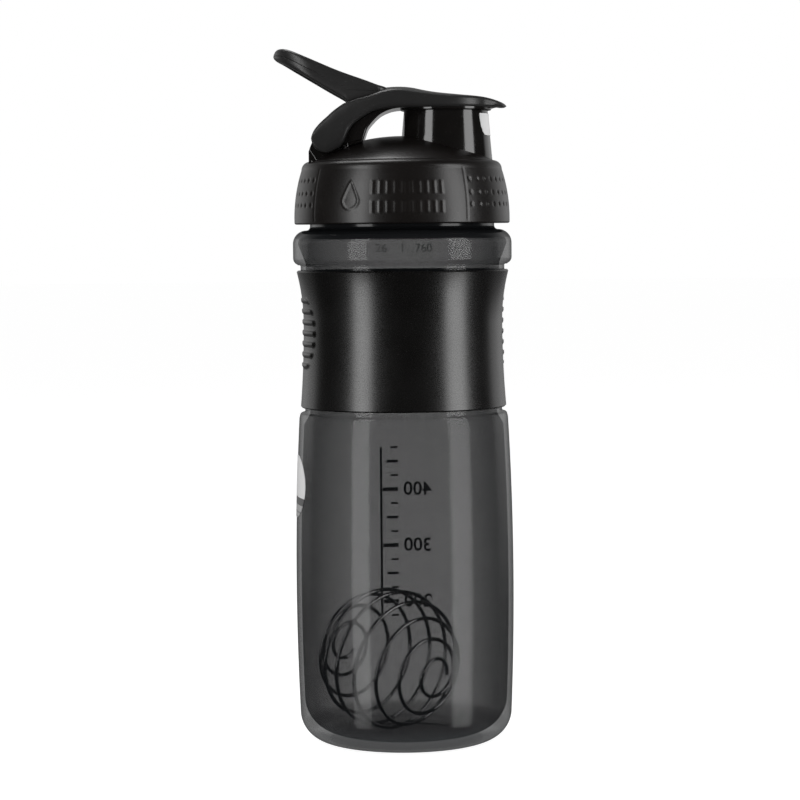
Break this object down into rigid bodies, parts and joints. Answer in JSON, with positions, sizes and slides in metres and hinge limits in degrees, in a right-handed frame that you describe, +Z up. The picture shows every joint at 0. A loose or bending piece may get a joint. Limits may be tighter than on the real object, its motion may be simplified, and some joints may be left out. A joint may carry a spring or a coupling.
{
  "type": "protein shaker bottle",
  "caption": "Tall waisted shaker bottle with a grip sleeve, a screw lid with a side spout, a flip cap with a carry loop, and a loose wire mixing ball inside.",
  "frame": {"origin": "centre of the bottle's foot, on the plane that it stands on", "axes": "+Z up along the bottle's axis, +X towards the spout and the thumb tab, -X towards the hinge and the carry loop"},
  "size_m": [0.0879, 0.0817, 0.2576],
  "materials": {
    "smoke_plastic": "clear smoke-grey copolyester, gloss",
    "grip_rubber": "soft-touch matte black sleeve",
    "label_print": "plain white film label",
    "ball_steel": "stainless spring wire",
    "seal_silicone": "grey silicone",
    "lid_plastic": "gloss black polypropylene",
    "soft_skin": "soft-touch matte black overmould",
    "cap_skin": "fine matte charcoal",
    "pin_steel": "plain steel pin"
  },
  "bodies": {
    "bottle": {"bottle_shell": "smoke_plastic", "grip_sleeve": "grip_rubber", "body_label": "label_print"},
    "mixing_ball": {"mixing_ball": "ball_steel"},
    "lid_seal": {"lid_seal": "seal_silicone"},
    "lid": {"lid_shell": "lid_plastic", "lid_collar": "soft_skin", "hinge_pin": "pin_steel", "spout_label": "label_print"},
    "flip_cap": {"cap_frame": "lid_plastic", "cap_skin": "cap_skin", "carry_loop": "cap_skin", "spout_plug": "seal_silicone"}
  },
  "joints": [
    {"name": "ball_shake", "type": "slide", "parent": "bottle", "child": "mixing_ball", "axis": [0, 0, 1], "range_m": [0, 0.12]},
    {"name": "lid_lift", "type": "slide", "parent": "bottle", "child": "lid_seal", "axis": [0, 0, 1], "range_m": [0, 0.024]},
    {"name": "lid_turn", "type": "hinge", "parent": "lid_seal", "child": "lid", "pos_m": [0, 0, 0.2], "axis": [0, 0, 1], "range_deg": [0, 1440]},
    {"name": "cap_flip", "type": "hinge", "parent": "lid", "child": "flip_cap", "pos_m": [-0.0278, 0, 0.2244], "axis": [0, -1, 0], "range_deg": [0, 120]}
  ],
  "couplings": [
    {"joint": "lid_lift", "follows": "lid_turn", "m_per_rad": 0.00095493}
  ]
}
